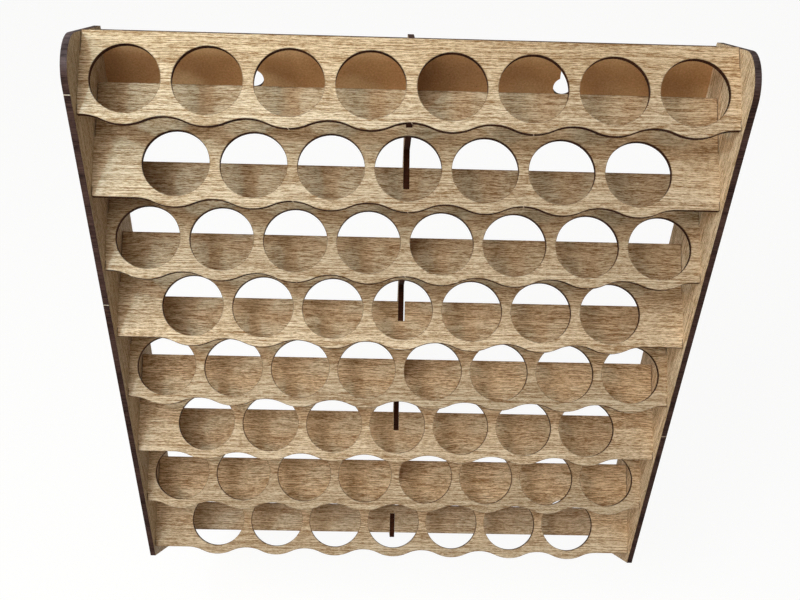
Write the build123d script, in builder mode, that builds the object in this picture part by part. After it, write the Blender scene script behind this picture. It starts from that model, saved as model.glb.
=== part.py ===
from build123d import *
from math import cos, radians, sin, tan
import os

# Wall-hung paint rack of thin laser-cut board: sloping tiers of bottle holes between two side panels.
# Frame: X to the right, Y towards the wall, Z up. The wall is Y = 0, and the origin lies midway
# between the two points that the rack hangs from.

# Driving dimensions, in millimetres and degrees
board = 3.4
wall_reach = 54.2

# Tiers: each row of holes lies on a line parallel to the wall, one pitch under the row above
tier_count = 8
tier_pitch = 49.5
tilt = 43.0
first_row_height = 15.0
hole_diameter = 36.0
hole_pitch = 41.4
holes_in_odd_tier = 8
end_margin = 2.4
front_reach = 21.6
wave_swing = 2.3
rear_reach = 43.5
top_tier_rear_reach = 24.8
end_gap = 0.3
tab_length = 28.0
tab_centre = -0.5
tab_play = 0.2

# Bottom shelf, a strip that lies where a ninth tier would
shelf_front = 23.5
shelf_tab_length = 12.0

# Centre divider and the slots that it fills
divider_play = 0.2
slot_play = 0.1
loose_tier = 5
loose_tier_gap = 0.7
even_slot_end = 22.5
odd_slot_end = 31.0
shelf_slot_end = 37.5
bottle_relief = 2.2
divider_toe = 20.1

# Side panels
side_front_reach = 17.5
side_foot_drop = 19.5
foot_slope = 45.0
side_top_height = 17.0
side_top_slope = 21.5
side_top_radius = 18.0

# Back panel with the two hanging keyholes
panel_top = 15.0
panel_height = 50.0
panel_tab_length = 26.0
keyhole_spacing = 173.3
keyhole_diameter = 11.5
keyhole_neck_width = 5.0
keyhole_drop = 11.0

# Derived sizes
inner_width = holes_in_odd_tier * hole_pitch + 2 * end_margin
shelf_level = tier_count + 1
row_step = tier_pitch * sin(radians(tilt))
panel_centre = panel_top - panel_height / 2
side_front = -wall_reach - side_front_reach
side_foot_height = first_row_height - (tier_count - 1) * tier_pitch - side_foot_drop


def section_point(level, along, above):
    """Y and Z of a point of a tier, from its row of holes: towards the wall, and above its top face."""
    y = -wall_reach + along * cos(radians(tilt)) - above * sin(radians(tilt))
    z = first_row_height - (level - 1) * tier_pitch + along * sin(radians(tilt)) + above * cos(radians(tilt))
    return (y, z)


def tier_plane(level):
    """Top face of a tier, with the origin in the middle of its row of holes."""
    y, z = section_point(level, 0, 0)
    normal = (0, -sin(radians(tilt)), cos(radians(tilt)))
    return Plane(origin=(0, y, z), x_dir=(1, 0, 0), z_dir=normal)


def holes_in(level):
    """Odd tiers have one hole more than even ones, which sit half a pitch across."""
    return holes_in_odd_tier if level % 2 else holes_in_odd_tier - 1


def rear_of(level):
    """The top tier stops short, because nothing stands on its rear edge."""
    return top_tier_rear_reach if level == 1 else rear_reach


def slot_end_of(level):
    """Front end of a tier's slot. In an odd tier it lies behind a bottle in the centre hole above."""
    return odd_slot_end if level % 2 else even_slot_end


def wavy_front(holes):
    """Front edge from left to right: a bulge before each hole, and straight ends past the last valleys."""
    end = inner_width / 2 - end_gap
    valley = -front_reach + wave_swing
    bulge = -front_reach - wave_swing
    quarter = hole_pitch / 4
    first_valley = -holes * hole_pitch / 2
    Line((-end, valley), (first_valley, valley))
    TangentArc((first_valley, valley), (first_valley + quarter, -front_reach), tangent=(1, 0))
    for turn in range(2 * holes - 1):
        start = first_valley + quarter + turn * 2 * quarter
        crest = valley if turn % 2 else bulge
        ThreePointArc((start, -front_reach), (start + quarter, crest), (start + 2 * quarter, -front_reach))
    TangentArc((-first_valley, valley), (-first_valley - quarter, -front_reach), tangent=(-1, 0))
    Line((-first_valley, valley), (end, valley))


def tab_pair(length, centre):
    """Tabs that reach through both side panels, drawn as one bar behind the plate's outline."""
    with Locations((0, centre)):
        Rectangle(inner_width + 2 * board, length)


def divider_slot(from_along, to_along, right_gap=0):
    """Slot in the middle of a plate for the centre divider, wider to the right by an extra gap."""
    with Locations((right_gap / 2, (from_along + to_along) / 2)):
        Rectangle(board + 2 * slot_play + right_gap, to_along - from_along, mode=Mode.SUBTRACT)


def keyhole():
    """Round opening that passes a screw head, under a neck that takes its shank."""
    with Locations((0, -keyhole_drop)):
        Circle(keyhole_diameter / 2)
    with Locations((0, -keyhole_drop / 2)):
        Rectangle(keyhole_neck_width, keyhole_drop)
    Circle(keyhole_neck_width / 2)


def falling_edge(start_y, start_z):
    """Height at the wall of a lower edge that falls towards it from a point at the front."""
    return start_z + start_y * tan(radians(foot_slope))


def side_profile():
    """Side panel, seen along X, with through slots for the tiers' tabs."""
    top_front = side_top_height - side_front * tan(radians(side_top_slope))
    with BuildSketch() as profile:
        with BuildLine():
            Polyline(
                (0, side_top_height),
                (side_front, top_front),
                (side_front, side_foot_height),
                (0, falling_edge(side_front, side_foot_height)),
                close=True,
            )
        make_face()
        fillet(profile.vertices().sort_by(Axis.Y)[-1], side_top_radius)
        for level in range(1, tier_count + 1):
            with Locations(section_point(level, tab_centre, -board / 2)):
                Rectangle(tab_length + 2 * tab_play, board, rotation=tilt, mode=Mode.SUBTRACT)
        with Locations(section_point(shelf_level, (shelf_front + rear_reach) / 2, -board / 2)):
            Rectangle(shelf_tab_length + 2 * tab_play, board, rotation=tilt, mode=Mode.SUBTRACT)
        with Locations((-board / 2, panel_centre)):
            Rectangle(board, panel_tab_length + 2 * tab_play, mode=Mode.SUBTRACT)
    return profile.sketch


def divider_outline():
    """Corners of the divider's front, from the top tier down to the toe under the bottom shelf."""
    lean = board * tan(radians(tilt))
    shoulder = even_slot_end - lean
    relief = hole_diameter / 2 + bottle_relief
    corners = [section_point(1, top_tier_rear_reach, -board), section_point(1, shoulder, -board)]
    for even in range(2, tier_count + 1, 2):
        below = even + 1
        corners += [
            section_point(even, even_slot_end, 0),
            section_point(even, even_slot_end, -board),
            section_point(even, relief, -board),
            section_point(below, relief + row_step, 0),
        ]
        if below < shelf_level:
            corners += [
                section_point(below, odd_slot_end, 0),
                section_point(below, odd_slot_end, -board),
                section_point(below, shoulder, -board),
            ]
    corners += [
        section_point(shelf_level, rear_reach + divider_play, 0),
        section_point(shelf_level, rear_reach + divider_play, -board),
        section_point(shelf_level, shelf_slot_end, -board),
        section_point(shelf_level, shelf_slot_end, 0),
        section_point(shelf_level, divider_toe, 0),
    ]
    return corners


os.makedirs("parts", exist_ok=True)

# Side panels
panel_profile = side_profile()

with BuildPart() as left_side_panel:
    with BuildSketch(Plane.YZ.offset(-inner_width / 2 - board)):
        add(panel_profile)
    extrude(amount=board)
left_side_panel.part.label = "left_side_panel"
export_step(left_side_panel.part, "parts/left_side_panel.step")

with BuildPart() as right_side_panel:
    with BuildSketch(Plane.YZ.offset(inner_width / 2)):
        add(panel_profile)
    extrude(amount=board)
right_side_panel.part.label = "right_side_panel"
export_step(right_side_panel.part, "parts/right_side_panel.step")

# Tiers with bottle holes
for level in range(1, tier_count + 1):
    with BuildPart() as holder_tier:
        with BuildSketch(tier_plane(level)):
            with BuildLine():
                wavy_front(holes_in(level))
                plate_end = inner_width / 2 - end_gap
                valley = -front_reach + wave_swing
                Polyline(
                    (plate_end, valley),
                    (plate_end, rear_of(level)),
                    (-plate_end, rear_of(level)),
                    (-plate_end, valley),
                )
            make_face()
            tab_pair(tab_length, tab_centre)
            with GridLocations(hole_pitch, 0, holes_in(level), 1):
                Circle(hole_diameter / 2, mode=Mode.SUBTRACT)
            if level > 1:
                divider_slot(slot_end_of(level), rear_reach, loose_tier_gap if level == loose_tier else 0)
        extrude(amount=-board)
    holder_tier.part.label = f"holder_tier_{level}"
    export_step(holder_tier.part, f"parts/holder_tier_{level}.step")

# Bottom shelf, which the bottles of the last tier stand on
with BuildPart() as bottom_shelf:
    with BuildSketch(tier_plane(shelf_level)):
        with Locations((0, (shelf_front + rear_reach) / 2)):
            Rectangle(inner_width - 2 * end_gap, rear_reach - shelf_front)
        tab_pair(shelf_tab_length, (shelf_front + rear_reach) / 2)
        divider_slot(shelf_front, shelf_slot_end)
    extrude(amount=-board)
bottom_shelf.part.label = "bottom_shelf"
export_step(bottom_shelf.part, "parts/bottom_shelf.step")

# Back panel: its neck ends are level with the origin
with BuildPart() as back_panel:
    with BuildSketch(Plane.XZ):
        with Locations((0, panel_centre)):
            Rectangle(inner_width, panel_height)
        tab_pair(panel_tab_length, panel_centre)
    extrude(amount=board)
    with BuildSketch(Plane.XZ):
        with GridLocations(keyhole_spacing, 0, 2, 1):
            keyhole()
    extrude(amount=board, mode=Mode.SUBTRACT)
back_panel.part.label = "back_panel"
export_step(back_panel.part, "parts/back_panel.step")

# Centre divider: clears the centre bottles, fills the slots and hooks over the back panel
with BuildPart() as centre_divider:
    with BuildSketch(Plane.YZ.offset(-board / 2)):
        with BuildLine():
            toe = section_point(shelf_level, divider_toe, 0)
            Polyline((0, side_top_height), *divider_outline(), (0, falling_edge(*toe)), close=True)
        make_face()
        with Locations((-board / 2, panel_centre)):
            Rectangle(board, panel_height + 2 * divider_play, mode=Mode.SUBTRACT)
    extrude(amount=board)
centre_divider.part.label = "centre_divider"
export_step(centre_divider.part, "parts/centre_divider.step")
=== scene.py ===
from math import pi, radians
import bpy
from mathutils import Euler, Matrix, Vector

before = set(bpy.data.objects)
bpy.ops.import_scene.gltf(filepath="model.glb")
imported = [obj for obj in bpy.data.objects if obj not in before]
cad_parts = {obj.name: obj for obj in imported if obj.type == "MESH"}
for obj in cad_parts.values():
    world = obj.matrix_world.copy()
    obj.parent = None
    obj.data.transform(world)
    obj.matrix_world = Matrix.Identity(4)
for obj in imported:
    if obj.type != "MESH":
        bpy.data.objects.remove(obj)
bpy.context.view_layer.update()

# Sizes shared with the construction, in metres and degrees
MM = 0.001
WALL_REACH = 54.2 * MM
TIER_COUNT = 8
TIER_PITCH = 49.5 * MM
TILT = 43.0
FIRST_ROW_HEIGHT = 15.0 * MM
HOLE_RADIUS = 18.0 * MM
HOLE_PITCH = 41.4 * MM
HOLES_IN_ODD_TIER = 8
FRONT_REACH = 21.6 * MM
WAVE_SWING = 2.3 * MM
REAR_REACH = 43.5 * MM
TOP_TIER_REAR_REACH = 24.8 * MM
SHELF_FRONT = 23.5 * MM
PLATE_END = 167.7 * MM
TAB_LENGTH = 28.0 * MM
TAB_CENTRE = -0.5 * MM
PANEL_PLANE = 168.0 * MM
PANEL_FRONT = 71.7 * MM

# Scorch beside the laser's cuts: its width, the part of it that is burnt in full, how far its rim
# wavers, the scale and detail of that, and how dark it is
SCORCH_WIDTH = 0.45 * MM
SCORCH_CORE = 0.1 * MM
SCORCH_WAVER = 0.6 * MM
SCORCH_NOISE = (450, 2.0)
SCORCH_DEPTH = 0.5

# Nicks that the laser's bridges left on front edges, in millimetres from the middle of each tier
NICK_WIDTH = 0.8 * MM
TIER_NICK_SLANT = 0.2
TIER_NICKS = {
    1: (-62.2, 0.0, 61.8),
    2: (-61.6, -0.2, 61.9),
    3: (-61.0, 0.0, 103.8),
    4: (-102.8,),
}

# What lies further out than this across a tier, or across a side panel, is its front edge
TIER_EDGE_FROM = 18.6 * MM
PANEL_EDGE_FROM = 60 * MM

# Grey on the side panels' edges, with painted sheen that grows with height where the top edges face the
# light: its share low down, and the heights between which the painted sheen sets in
LEAST_SHEEN_GREY = 0.35
SHEEN_HEIGHTS = (22 * MM, 33 * MM)

# Camera of the photograph
CAMERA_PLACE = (-0.0164, -0.5394, 0.2739)
CAMERA_VIEW = (0.02351, 0.77141, -0.6359)
CAMERA_UP = (-0.02144, 0.63632, 0.77113)
CAMERA_RANGE = (0.01, 50.0)
PHOTO_WIDTH = 800
FOCAL_PIXELS = 1064.73
SENSOR = 36.0

# Lamps: place, diameter, power and colour. Each faces the rack's middle
RACK_MIDDLE = (0.0, -0.045, -0.15)
LAMPS = {
    "near": ((-0.25, -0.262, 0.226), 0.03, 0.5, (0.4, 0.74, 1.0)),
    "key": ((-0.496, -0.853, 0.79), 0.35, 3.0, (1.0, 0.96, 0.98)),
    "soft": ((-0.25, -0.66, 0.6), 0.6, 4.2, (1.0, 0.97, 0.94)),
    "left": ((-0.6, -0.4, 0.3), 0.4, 1.1, (1.0, 0.8, 0.5)),
}

# Light from all round, by the side that it comes from: axis, sign and strength of red, green and blue
SKY = {
    "left": ("X", -1, (0.14, 0.13, 0.12)),
    "right": ("X", 1, (0.22, 0.2, 0.18)),
    "front": ("Y", -1, (0.15, 0.14, 0.13)),
    "back": ("Y", 1, (0.6, 0.58, 0.56)),
    "above": ("Z", 1, (0.15, 0.14, 0.13)),
    "below": ("Z", -1, (0.3, 0.28, 0.26)),
}
WHITE = (1.0, 1.0, 1.0, 1.0)

# Floor, and the glow that stands for most of it where it is seen
FLOOR_HEIGHT = -0.52
FLOOR_REACH = 6.0
FLOOR_COLOUR = 0.9
FLOOR_GLOW = 1.08
FLOOR_GLOW_SHARE = 0.85

# Colours of the board, as a screen shows them
OAK_DARK = (140, 106, 68)
OAK_MIDDLE = (201, 175, 139)
OAK_LIGHT = (236, 218, 187)
BARE_DARK = (160, 115, 72)
BARE_LIGHT = (204, 160, 111)
BARE_FLECK = (96, 64, 40)
CHAR_DARK = (30, 12, 5)
CHAR_LIGHT = (72, 38, 20)
# Grey of the side panels' edges, which higher up is painted sheen
SHEEN_GREY_DARK = (44, 33, 32)
SHEEN_GREY_LIGHT = (106, 90, 88)
SCORCH = (66, 36, 16)
FRESH_WOOD = (200, 182, 160)

# Noises of the oak print: waves to the metre along the grain and across it, with the step from plate to
# plate, shift, detail and roughness
OAK_NOISES = {
    "wander": ((22, 38, 1), (0, 0, 0), 2.0, 0.5),
    "bands": ((8, 260, 1), (3, 1, 7), 2.0, 0.5),
    "long lines": ((24, 1600, 1), (4, 3, 6), 4.0, 0.9),
    "short lines": ((85, 1600, 1), (1, 5, 2), 3.0, 0.9),
    "strokes": ((270, 2400, 1), (4, 3, 9), 3.0, 0.9),
    "hills": ((6, 48, 1), (0, 0, 0), 1.0, 0.5),
    "ring places": ((13, 26, 1), (6, 2, 4), 1.0, 0.5),
    "pores": ((60, 2200, 1), (8, 2, 4), 1.0, 0.5),
    "rays": ((520, 150, 1), (2, 7, 1), 2.0, 0.5),
    "ray places": ((16, 30, 1), (7, 7, 2), 1.0, 0.5),
    "clouds": ((8, 17, 1), (2, 9, 5), 2.0, 0.5),
}

# Values of these noises at which a feature starts to show and shows in full
RING_SPAN = (0.72, 1.0)
RING_PLACE_SPAN = (0.5, 0.64)
PORE_SPAN = (0.34, 0.3)
RAY_SPAN = (0.56, 0.7)
RAY_PLACE_SPAN = (0.5, 0.62)
CLOUD_SPAN = (0.3, 0.7)
CLOUD_TONES = (0.95, 1.05)

# Oak print: how far the grain wanders, its tone before any noise and what each noise adds to it, where
# its colours lie, and how strong the features are
LEAST_WANDER = 1.5 * MM
LIVELY_WANDER = 8 * MM
OAK_TONE = -3.625
BAND_WEIGHT = 0.45
LINE_WEIGHT = 4.4
STROKE_WEIGHT = 3.4
OAK_STOPS = ((0.1, OAK_DARK), (0.5, OAK_MIDDLE), (0.9, OAK_LIGHT))
RINGS_PER_HILL = 11
RING_DEPTH = 0.14
PORE_DEPTH = 0.4
PORE_SINK = 0.6
RAY_STRENGTH = 0.25

# Bare board: scale, detail and roughness of its noises, their weights, where its colours lie, and how
# dark its flecks are
BARE_CLOUDS = (55, 3.0, 0.6)
BARE_SPECKLE = (900, 2.0, 0.65)
BARE_FLECKS = (700, 1.0, 0.5)
BARE_CLOUD_WEIGHT = 0.4
BARE_SPECKLE_WEIGHT = 0.6
BARE_STOPS = ((0.3, BARE_DARK), (0.7, BARE_LIGHT))
FLECK_SPAN = (0.25, 0.2)
FLECK_DEPTH = 0.75

# Cut edges: fine marks across the board's thickness, clouds, their weights, and where the colours lie
MARK_STRETCH = (1400, 1400, 120)
MARK_NOISE = (1.0, 2.0, 0.6)
EDGE_CLOUDS = (90, 2.0)
MARK_WEIGHT = 0.6
EDGE_CLOUD_WEIGHT = 0.5
EDGE_STOPS = (0.4, 0.72)

# Finish of the board: relief, roughness of its faces by height, what the edges have more, and gloss
BUMP_STRENGTH = 0.3
BUMP_DISTANCE = 0.2 * MM
HEIGHT_SPAN = (0.2, 0.8)
FACE_ROUGHNESS = (0.74, 0.6)
EDGE_ROUGHNESS = 0.2
SPECULAR = 0.12

# Faces that lie within 60 degrees of the plate are its upper and under sides, and the rest are edges
FACING_LIMIT = 0.5

# How much further into the print each plate's piece of it lies than the one before
SEED_SHIFT = (0.37, 0.11, 1.7)

# How light each tier's print is towards its front, partly its own tone and partly painted light, and towards
# its rear, painted shade under the upper tiers and painted light on the lower ones; and the painted warm
# shade at the rear
TIER_TONES_AND_SHADE = {
    1: (1.02, 1.0),
    2: (0.97, 0.85),
    3: (0.97, 0.72),
    4: (1.2, 0.8),
    5: (0.93, 0.98),
    6: (1.1, 1.1),
    7: (0.98, 1.02),
    8: (1.05, 1.12),
}
REAR_SHADE_TINT = (1.0, 0.95, 0.88)

# How lively the grain is towards the front and towards the rear, and where it turns from one to the other
TIER_GRAIN = {1: (0.1, 0.2), 2: (0.1, 0.4)}
USUAL_GRAIN = (0.1, 0.8)
GRAIN_TURN = (-14 * MM, 8 * MM)

# Side panels: the side that each stands on, its turn, its piece of the print and how light it is, which is
# painted light on the right panel and painted shade on the left one, and the heights of its nicks in
# millimetres
SIDE_PANELS = {
    "left": {"side": -1, "turn": 180, "seed": 10, "tone": 0.85, "nicks": (14.1, -120.2)},
    "right": {"side": 1, "turn": 0, "seed": 11, "tone": 1.15, "nicks": (-220.0,)},
}


def linear(colour):
    """Linear value with alpha of a colour given as a screen shows it."""
    parts = [c / 255 for c in colour]
    return tuple(p / 12.92 if p <= 0.04045 else ((p + 0.055) / 1.055) ** 2.4 for p in parts) + (1.0,)


class Nodes:
    """Short way to add shader nodes to a tree and link them."""

    def __init__(self, tree):
        self.tree = tree

    def add(self, kind, inputs=(), **settings):
        """Node with its settings, and with each input linked to a socket or set to a value."""
        made = self.tree.nodes.new(kind)
        for name, value in settings.items():
            setattr(made, name, value)
        for key, value in dict(inputs).items():
            if isinstance(value, bpy.types.NodeSocket):
                self.tree.links.new(value, made.inputs[key])
            else:
                made.inputs[key].default_value = value
        return made

    def math(self, operation, a, b=0.0, c=0.0):
        return self.add("ShaderNodeMath", {0: a, 1: b, 2: c}, operation=operation).outputs[0]

    def mix(self, factor, a, b, blend="MIX"):
        """Colour a, with colour b over it as far as the factor says. Sockets 6 and 7 are the two colours."""
        inputs = {"Factor": factor, 6: a, 7: b}
        return self.add("ShaderNodeMix", inputs, data_type="RGBA", blend_type=blend).outputs[2]

    def step(self, value, low, high, start=0.0, end=1.0):
        """Smooth step from start to end while the value goes from low to high."""
        inputs = {"Value": value, "From Min": low, "From Max": high, "To Min": start, "To Max": end}
        return self.add("ShaderNodeMapRange", inputs, interpolation_type="SMOOTHSTEP").outputs[0]

    def noise(self, vector, scale, detail=2.0, roughness=0.5):
        inputs = {"Vector": vector, "Scale": scale, "Detail": detail, "Roughness": roughness}
        return self.add("ShaderNodeTexNoise", inputs).outputs[0]

    def stretch(self, vector, scale, shift=(0, 0, 0)):
        inputs = {"Vector": vector, "Scale": scale, "Location": shift}
        return self.add("ShaderNodeMapping", inputs).outputs[0]

    def grey(self, value):
        return self.add("ShaderNodeCombineColor", {0: value, 1: value, 2: value}).outputs[0]

    def group(self, name, *values):
        """One of the board's prints or edges, as a group node."""
        return self.add("ShaderNodeGroup", dict(enumerate(values)), node_tree=GROUPS[name])

    def ramp(self, value, *stops):
        """Colour between the stops, each a value and a colour as a screen shows it."""
        made = self.add("ShaderNodeValToRGB", {0: value})
        elements = made.color_ramp.elements
        while len(elements) < len(stops):
            elements.new(0.5)
        for element, (place, colour) in zip(elements, stops):
            element.position = place
            element.color = linear(colour)
        return made.outputs[0]


def print_tree(name, *more):
    """Node group that turns a place on a board, and more values if named, into a colour and a height. It
    comes with its input sockets."""
    tree = bpy.data.node_groups.new(name, "ShaderNodeTree")
    tree.interface.new_socket("Vector", in_out="INPUT", socket_type="NodeSocketVector")
    tree.interface.new_socket("Color", in_out="OUTPUT", socket_type="NodeSocketColor")
    tree.interface.new_socket("Height", in_out="OUTPUT", socket_type="NodeSocketFloat")
    for extra in more:
        tree.interface.new_socket(extra, in_out="INPUT", socket_type="NodeSocketFloat")
    n = Nodes(tree)
    return tree, n, *n.add("NodeGroupInput").outputs[:1 + len(more)]


def oak_noise(n, place, name):
    """One of the oak print's noises."""
    waves, shift, detail, roughness = OAK_NOISES[name]
    return n.noise(n.stretch(place, waves, shift), 1.0, detail, roughness)


def oak_group():
    """Oak print: x runs along the grain and y across it, in metres, and z sets one plate apart from the next.
    The second input says how lively the grain is, from 0 for long straight lines to 1 for short wavy ones."""
    tree, n, place, lively = print_tree("oak_print", "Lively")
    # The grain wanders to both sides, and further where it is lively
    wander = n.math("SUBTRACT", oak_noise(n, place, "wander"), 0.5)
    reach = n.math("MULTIPLY_ADD", lively, LIVELY_WANDER, LEAST_WANDER)
    shift = n.add("ShaderNodeCombineXYZ", {"Y": n.math("MULTIPLY", wander, reach)}).outputs[0]
    place = n.add("ShaderNodeVectorMath", {0: place, 1: shift}, operation="ADD").outputs[0]
    # Broad bands, fine lines and short strokes
    bands = oak_noise(n, place, "bands")
    long_lines = oak_noise(n, place, "long lines")
    short_lines = oak_noise(n, place, "short lines")
    lines = n.math("MULTIPLY_ADD", n.math("SUBTRACT", short_lines, long_lines), lively, long_lines)
    strokes = oak_noise(n, place, "strokes")
    tone = n.math("MULTIPLY_ADD", bands, BAND_WEIGHT, OAK_TONE)
    tone = n.math("MULTIPLY_ADD", lines, LINE_WEIGHT, tone)
    tone = n.math("MULTIPLY_ADD", strokes, STROKE_WEIGHT, tone)
    # Growth rings are thin dark level lines of a long, narrow noise, strong in some places only
    waves = n.math("MULTIPLY", oak_noise(n, place, "hills"), 2 * pi * RINGS_PER_HILL)
    rings = n.step(n.math("SINE", waves), *RING_SPAN)
    where = n.step(oak_noise(n, place, "ring places"), *RING_PLACE_SPAN)
    tone = n.math("SUBTRACT", tone, n.math("MULTIPLY", n.math("MULTIPLY", rings, where), RING_DEPTH))
    colour = n.ramp(tone, *OAK_STOPS)
    pores = n.step(oak_noise(n, place, "pores"), *PORE_SPAN)
    colour = n.mix(n.math("MULTIPLY", pores, PORE_DEPTH), colour, linear(OAK_DARK))
    # Rays are short pale flecks across the grain, in patches
    rays = n.step(oak_noise(n, place, "rays"), *RAY_SPAN)
    patch = n.step(oak_noise(n, place, "ray places"), *RAY_PLACE_SPAN)
    pale = n.math("MULTIPLY", n.math("MULTIPLY", rays, patch), RAY_STRENGTH)
    colour = n.mix(pale, colour, linear(OAK_LIGHT))
    clouds = n.step(oak_noise(n, place, "clouds"), *CLOUD_SPAN, *CLOUD_TONES)
    colour = n.mix(1.0, colour, n.grey(clouds), "MULTIPLY")
    n.add("NodeGroupOutput", {0: colour, 1: n.math("MULTIPLY_ADD", pores, -PORE_SINK, strokes)})
    return tree


def bare_group():
    """Bare fibreboard, brown, faintly mottled and finely speckled with dark dots."""
    tree, n, place = print_tree("bare_board")
    clouds = n.noise(place, *BARE_CLOUDS)
    speckle = n.noise(place, *BARE_SPECKLE)
    tone = n.math("MULTIPLY", clouds, BARE_CLOUD_WEIGHT)
    tone = n.math("MULTIPLY_ADD", speckle, BARE_SPECKLE_WEIGHT, tone)
    colour = n.ramp(tone, *BARE_STOPS)
    flecks = n.step(n.noise(place, *BARE_FLECKS), *FLECK_SPAN)
    colour = n.mix(n.math("MULTIPLY", flecks, FLECK_DEPTH), colour, linear(BARE_FLECK))
    n.add("NodeGroupOutput", {0: colour, 1: speckle})
    return tree


def edge_group(name, *colours):
    """Cut edge that the laser burnt, from its dark colour to its light one."""
    tree, n, place = print_tree(name)
    marks = n.noise(n.stretch(place, MARK_STRETCH), *MARK_NOISE)
    clouds = n.noise(place, *EDGE_CLOUDS)
    tone = n.math("MULTIPLY", clouds, EDGE_CLOUD_WEIGHT)
    tone = n.math("MULTIPLY_ADD", marks, MARK_WEIGHT, tone)
    colour = n.ramp(tone, *zip(EDGE_STOPS, colours))
    n.add("NodeGroupOutput", {0: colour, 1: marks})
    return tree


GROUPS = {
    "oak": oak_group(),
    "bare": bare_group(),
    "char": edge_group("burnt_edge", CHAR_DARK, CHAR_LIGHT),
    # Grey edge of the side panels, with painted sheen where the top edges face the light
    "sheen_grey": edge_group("sheen_grey_edge", SHEEN_GREY_DARK, SHEEN_GREY_LIGHT),
}


def tier_cuts(n, x, y, holes, rear):
    """Distance on a tier's upper face to its nearest cut: a hole's rim, the front, an end or the rear."""
    end = holes * HOLE_PITCH / 2
    within = n.math("MINIMUM", n.math("MAXIMUM", x, -end), end)
    to_first = 0.0 if holes % 2 else HOLE_PITCH / 2
    across = n.math("WRAP", n.math("ADD", within, to_first), HOLE_PITCH / 2, -HOLE_PITCH / 2)
    away = n.math("SQRT", n.math("MULTIPLY_ADD", across, across, n.math("MULTIPLY", y, y)))
    nearest = n.math("SUBTRACT", away, HOLE_RADIUS)
    # The front edge is a chain of arcs, each half a pitch wide, with a bulge before each hole
    quarter = HOLE_PITCH / 4
    arc_radius = (quarter ** 2 + WAVE_SWING ** 2) / (2 * WAVE_SWING)
    side = n.math("ABSOLUTE", across)
    in_bulge = n.math("LESS_THAN", side, quarter)
    from_crest = n.math("MINIMUM", side, n.math("SUBTRACT", 2 * quarter, side))
    chord = n.math("SUBTRACT", arc_radius ** 2, n.math("MULTIPLY", from_crest, from_crest))
    swing = n.math("SUBTRACT", n.math("SQRT", chord), arc_radius - WAVE_SWING)
    # The swing goes to the front in a bulge and to the rear in a valley
    swing_sign = n.math("MULTIPLY_ADD", in_bulge, -2.0, 1.0)
    front = n.math("MULTIPLY_ADD", swing_sign, swing, -FRONT_REACH)
    nearest = n.math("MINIMUM", nearest, n.math("SUBTRACT", y, front))
    # The ends are cut before and behind the tabs
    from_tab = n.math("ABSOLUTE", n.math("SUBTRACT", y, TAB_CENTRE))
    beside_tab = n.math("SUBTRACT", TAB_LENGTH / 2, from_tab)
    from_end = n.math("MAXIMUM", n.math("SUBTRACT", PLATE_END, n.math("ABSOLUTE", x)), beside_tab)
    nearest = n.math("MINIMUM", nearest, from_end)
    return n.math("MINIMUM", nearest, n.math("SUBTRACT", rear, y))


def strip_cuts(n, y, front, rear):
    """Distance on a straight strip to its nearer long edge."""
    return n.math("MINIMUM", n.math("SUBTRACT", y, front), n.math("SUBTRACT", rear, y))


def with_painted_shading(n, colour, y, tone_and_shade, shade_tint):
    """Colour of the print, lighter or darker towards the front and the rear, and tinted at the rear. At the
    front this is partly the plate's own tone and partly painted light; at the rear it is painted shade where
    darker and painted light where lighter, and the tinting is painted warm shade.
    """
    front_tone_and_light = (tone_and_shade[0], tone_and_shade[0], tone_and_shade[0], 1.0)
    rear_shade = tuple(tone_and_shade[1] * t for t in shade_tint) + (1.0,)
    shaded_rear = n.step(y, -HOLE_RADIUS, HOLE_RADIUS)
    return n.mix(1.0, colour, n.mix(shaded_rear, front_tone_and_light, rear_shade), "MULTIPLY")


def scorched(n, colour, local, distance):
    """Colour of a face, darker where the distance to the nearest cut is small."""
    waver = n.math("SUBTRACT", n.noise(local, *SCORCH_NOISE), 0.5)
    nearest = n.math("MULTIPLY_ADD", waver, SCORCH_WAVER, distance)
    burnt = n.math("MULTIPLY", n.step(nearest, SCORCH_WIDTH, SCORCH_CORE), SCORCH_DEPTH)
    return n.mix(burnt, colour, linear(SCORCH))


def with_sheen_grey(n, colour, local, height):
    """Colour of an edge that is partly grey all along and fully grey higher up, where the grey is painted
    sheen on the top edges that face the light.
    """
    sheen_grey_share = n.step(height, *SHEEN_HEIGHTS, LEAST_SHEEN_GREY, 1.0)
    return n.mix(sheen_grey_share, colour, n.group("sheen_grey", local).outputs[0])


def nicked(n, colour, axes, nicks):
    """Colour of an edge with fresh wood where a bridge held the plate in its sheet."""
    front = n.math("GREATER_THAN", n.math("MULTIPLY", axes["Y"], nicks["side"]), nicks["beyond"])
    slanted = n.math("MULTIPLY_ADD", axes["Z"], nicks["slant"], axes["X"])
    for nick in nicks["at"]:
        apart = n.math("ABSOLUTE", n.math("SUBTRACT", slanted, nick * MM))
        mark = n.math("MULTIPLY", n.step(apart, NICK_WIDTH / 2, NICK_WIDTH / 4), front)
        colour = n.mix(mark, colour, linear(FRESH_WOOD))
    return colour


def add_surface(n, colour, height, is_edge):
    """Matt surface of a colour with a slight relief, rougher on the edges."""
    relief = {"Strength": BUMP_STRENGTH, "Distance": BUMP_DISTANCE, "Height": height}
    bump = n.add("ShaderNodeBump", relief).outputs[0]
    roughness = n.step(height, *HEIGHT_SPAN, *FACE_ROUGHNESS)
    roughness = n.math("MULTIPLY_ADD", is_edge, EDGE_ROUGHNESS, roughness)
    shader = n.add("ShaderNodeBsdfPrincipled", {"Base Color": colour, "Roughness": roughness, "Normal": bump})
    shader.inputs["Specular IOR Level"].default_value = SPECULAR
    n.add("ShaderNodeOutputMaterial", {0: shader.outputs[0]})


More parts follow.
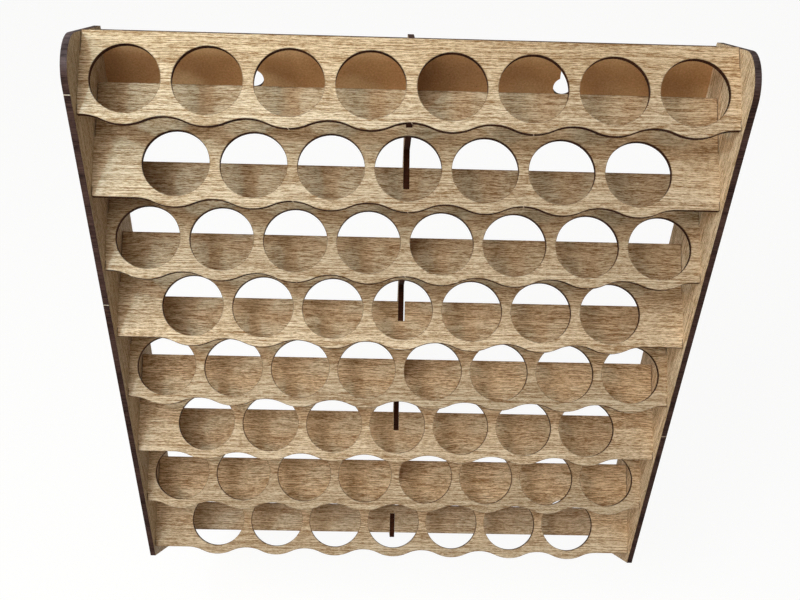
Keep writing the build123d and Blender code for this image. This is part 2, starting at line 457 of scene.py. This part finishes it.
def board_material(name, place, turn, seed, faces, sheen_grey_edges=False, nicks=None, cuts=None,
                   tone_and_shade=(1.0, 1.0), shade_tint=(1.0, 1.0, 1.0), lively=(0.3, 0.3)):
    """Material of one plate. place and turn lead to the plate's own axes, where x runs along the grain and z
    is the plate's thickness. seed picks its piece of the print, faces names what lies on its upper and under
    side, and sheen_grey_edges says that its edges are grey, with painted sheen that grows with height.
    nicks says where a bridge held the plate in its sheet, along x on the front edge. cuts gives the distance
    to the nearest cut from x and y. tone_and_shade gives the print's lightness at the front and at the rear,
    partly its own tone and partly painted light and shade, lively its liveliness there, and shade_tint its
    painted warm shade at the rear."""
    material = bpy.data.materials.new(name)
    material.use_nodes = True
    material.node_tree.nodes.clear()
    n = Nodes(material.node_tree)
    coords = n.add("ShaderNodeTexCoord").outputs
    angles = [radians(a) for a in turn]
    inputs = {"Vector": coords["Object"], "Location": place, "Rotation": angles}
    local = n.add("ShaderNodeMapping", inputs, vector_type="TEXTURE").outputs[0]
    axes = n.add("ShaderNodeSeparateXYZ", {0: local}).outputs

    # The plate's sides, told apart by which way they face
    normal = Euler(angles).to_matrix() @ Vector((0, 0, 1))
    facing = n.add("ShaderNodeVectorMath", {0: coords["Normal"], 1: normal}, operation="DOT_PRODUCT")
    facing = facing.outputs["Value"]
    is_upper = n.math("GREATER_THAN", facing, FACING_LIMIT)
    is_under = n.math("LESS_THAN", facing, -FACING_LIMIT)
    is_edge = n.math("LESS_THAN", n.math("ABSOLUTE", facing), FACING_LIMIT)

    flat = n.stretch(local, (1, 1, 0), [s * seed for s in SEED_SHIFT])
    liveliness = n.step(axes["Y"], *GRAIN_TURN, *lively)
    sides = [n.group(face, flat, liveliness) if face == "oak" else n.group(face, flat) for face in faces]
    upper, under = sides
    upper_colour = upper.outputs[0]
    # Painted light and shade on the print towards the front and the rear, and painted warm shade at the rear
    if tone_and_shade != (1.0, 1.0):
        upper_colour = with_painted_shading(n, upper_colour, axes["Y"], tone_and_shade, shade_tint)
    if cuts:
        upper_colour = scorched(n, upper_colour, local, cuts(n, axes["X"], axes["Y"]))
    edge = n.group("char", local)
    edge_colour = edge.outputs[0]
    if sheen_grey_edges:
        # Grey on the edges, growing with height into painted sheen
        up = n.add("ShaderNodeSeparateXYZ", {0: coords["Object"]}).outputs["Z"]
        edge_colour = with_sheen_grey(n, edge_colour, local, up)
    if nicks:
        edge_colour = nicked(n, edge_colour, axes, nicks)
    colour = n.mix(is_upper, n.mix(is_under, edge_colour, under.outputs[0]), upper_colour)

    height = n.math("MULTIPLY", is_upper, upper.outputs[1])
    height = n.math("MULTIPLY_ADD", is_under, under.outputs[1], height)
    height = n.math("MULTIPLY_ADD", is_edge, edge.outputs[1], height)
    add_surface(n, colour, height, is_edge)
    return material


def dress(node, material):
    """Gives a node of the frame one material all over."""
    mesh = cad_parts[node].data
    mesh.materials.clear()
    mesh.materials.append(material)


def row_of(level):
    """Middle of a tier's row of holes."""
    return (0, -WALL_REACH, FIRST_ROW_HEIGHT - (level - 1) * TIER_PITCH)


def dress_tier(level):
    """One tier with bottle holes."""
    holes = HOLES_IN_ODD_TIER if level % 2 else HOLES_IN_ODD_TIER - 1
    rear = TOP_TIER_REAR_REACH if level == 1 else REAR_REACH
    at = TIER_NICKS.get(level, ())
    look = {
        "faces": ("oak", "bare"),
        "nicks": {"side": -1, "beyond": TIER_EDGE_FROM, "slant": TIER_NICK_SLANT, "at": at},
        "cuts": lambda n, x, y: tier_cuts(n, x, y, holes, rear),
        # Painted light and shade towards this tier's front and rear, and painted warm shade at the rear
        "tone_and_shade": TIER_TONES_AND_SHADE[level],
        "shade_tint": REAR_SHADE_TINT,
        "lively": TIER_GRAIN.get(level, USUAL_GRAIN),
    }
    material = board_material(f"tier_{level}_board", row_of(level), (TILT, 0, 0), seed=level, **look)
    dress(f"holder_tier_{level}", material)


def dress_shelf():
    """Bottom shelf, where a ninth tier would lie."""
    row = row_of(TIER_COUNT + 1)
    look = {"faces": ("oak", "bare"), "cuts": lambda n, x, y: strip_cuts(n, y, SHELF_FRONT, REAR_REACH)}
    dress("bottom_shelf", board_material("shelf_board", row, (TILT, 0, 0), seed=9, **look))


def dress_side_panel(name):
    """The side panels' grain runs up and down, and their printed faces look at each other."""
    panel = SIDE_PANELS[name]
    side = panel["side"]
    look = {
        "faces": ("oak", "bare"),
        # Grey edges with painted sheen higher up
        "sheen_grey_edges": True,
        "nicks": {"side": -side, "beyond": PANEL_EDGE_FROM, "slant": 0.0, "at": panel["nicks"]},
        "cuts": lambda n, x, y: strip_cuts(n, y, -PANEL_FRONT, PANEL_FRONT),
        # The panel's tone is painted light on the right panel and painted shade on the left one
        "tone_and_shade": (panel["tone"], panel["tone"]),
    }
    place = (side * PANEL_PLANE, 0, 0)
    turn = (0, -90, panel["turn"])
    dress(f"{name}_side_panel", board_material(f"{name}_panel_board", place, turn, panel["seed"], **look))


def dress_upright(node, name, turn, seed, faces):
    """Divider or back panel, whose plate passes through the origin."""
    dress(node, board_material(name, (0, 0, 0), turn, seed, faces))


for level in range(1, TIER_COUNT + 1):
    dress_tier(level)
dress_shelf()
dress_side_panel("left")
dress_side_panel("right")
dress_upright("centre_divider", "divider_board", turn=(0, -90, 0), seed=12, faces=("oak", "bare"))
dress_upright("back_panel", "back_panel_board", turn=(90, 0, 0), seed=13, faces=("bare", "oak"))


def add_camera():
    """Camera at the photograph's place and angle."""
    view = Vector(CAMERA_VIEW).normalized()
    up = Vector(CAMERA_UP).normalized()
    right = view.cross(up).normalized()
    up = right.cross(view)
    data = bpy.data.cameras.new("camera")
    data.sensor_width = SENSOR
    data.lens = SENSOR * FOCAL_PIXELS / PHOTO_WIDTH
    data.clip_start, data.clip_end = CAMERA_RANGE
    camera = bpy.data.objects.new("camera", data)
    turn = Matrix((right, up, -view)).transposed().to_4x4()
    camera.matrix_world = Matrix.Translation(CAMERA_PLACE) @ turn
    bpy.context.scene.collection.objects.link(camera)
    bpy.context.scene.camera = camera


def add_lamps():
    """Round lamps, each turned to the rack's middle."""
    for name, (place, diameter, power, colour) in LAMPS.items():
        data = bpy.data.lights.new(name, "AREA")
        data.shape = "DISK"
        data.size = diameter
        data.energy = power
        data.color = colour
        lamp = bpy.data.objects.new(name, data)
        lamp.location = place
        lamp.rotation_mode = "QUATERNION"
        lamp.rotation_quaternion = (Vector(place) - Vector(RACK_MIDDLE)).to_track_quat("Z", "Y")
        bpy.context.scene.collection.objects.link(lamp)


def seen_directly(n):
    """1 for rays from the camera, or on their way to it in a mirror or through glass."""
    path = n.add("ShaderNodeLightPath").outputs
    seen = n.math("MAXIMUM", path["Is Camera Ray"], path["Is Glossy Ray"])
    return n.math("MAXIMUM", seen, path["Is Transmission Ray"])


def add_sky():
    """Soft light from all round, a little different from each side, and white where it is seen."""
    world = bpy.data.worlds.new("studio")
    bpy.context.scene.world = world
    world.use_nodes = True
    world.node_tree.nodes.clear()
    n = Nodes(world.node_tree)
    direction = n.add("ShaderNodeTexCoord").outputs["Generated"]
    axes = n.add("ShaderNodeSeparateXYZ", {0: direction}).outputs
    light = (0.0, 0.0, 0.0)
    for axis, sign, strength in SKY.values():
        towards = n.math("MAXIMUM", n.math("MULTIPLY", axes[axis], sign), 0.0)
        share = n.math("MULTIPLY", towards, towards)
        inputs = {0: strength, 1: n.grey(share), 2: light}
        light = n.add("ShaderNodeVectorMath", inputs, operation="MULTIPLY_ADD").outputs[0]
    soft = n.add("ShaderNodeBackground", {"Color": light, "Strength": 1.0}).outputs[0]
    white = n.add("ShaderNodeBackground", {"Color": WHITE, "Strength": 1.0}).outputs[0]
    sky = n.add("ShaderNodeMixShader", {0: seen_directly(n), 1: soft, 2: white}).outputs[0]
    n.add("ShaderNodeOutputWorld", {0: sky})


def add_floor():
    """Plain pale floor under the rack, which shows nearly white and keeps a faint shadow."""
    mesh = bpy.data.meshes.new("floor")
    corners = [
        (-FLOOR_REACH, -FLOOR_REACH, FLOOR_HEIGHT),
        (FLOOR_REACH, -FLOOR_REACH, FLOOR_HEIGHT),
        (FLOOR_REACH, FLOOR_REACH, FLOOR_HEIGHT),
        (-FLOOR_REACH, FLOOR_REACH, FLOOR_HEIGHT),
    ]
    mesh.from_pydata(corners, [], [(0, 1, 2, 3)])
    floor = bpy.data.objects.new("floor", mesh)
    bpy.context.scene.collection.objects.link(floor)
    material = bpy.data.materials.new("floor_pale")
    material.use_nodes = True
    material.node_tree.nodes.clear()
    n = Nodes(material.node_tree)
    pale = (FLOOR_COLOUR, FLOOR_COLOUR, FLOOR_COLOUR, 1.0)
    matt = n.add("ShaderNodeBsdfDiffuse", {"Color": pale}).outputs[0]
    glow = n.add("ShaderNodeEmission", {"Color": WHITE, "Strength": FLOOR_GLOW}).outputs[0]
    share = n.math("MULTIPLY", seen_directly(n), FLOOR_GLOW_SHARE)
    surface = n.add("ShaderNodeMixShader", {0: share, 1: matt, 2: glow}).outputs[0]
    n.add("ShaderNodeOutputMaterial", {0: surface})
    mesh.materials.append(material)


add_camera()
add_lamps()
add_sky()
add_floor()
bpy.context.scene.view_settings.view_transform = "Standard"
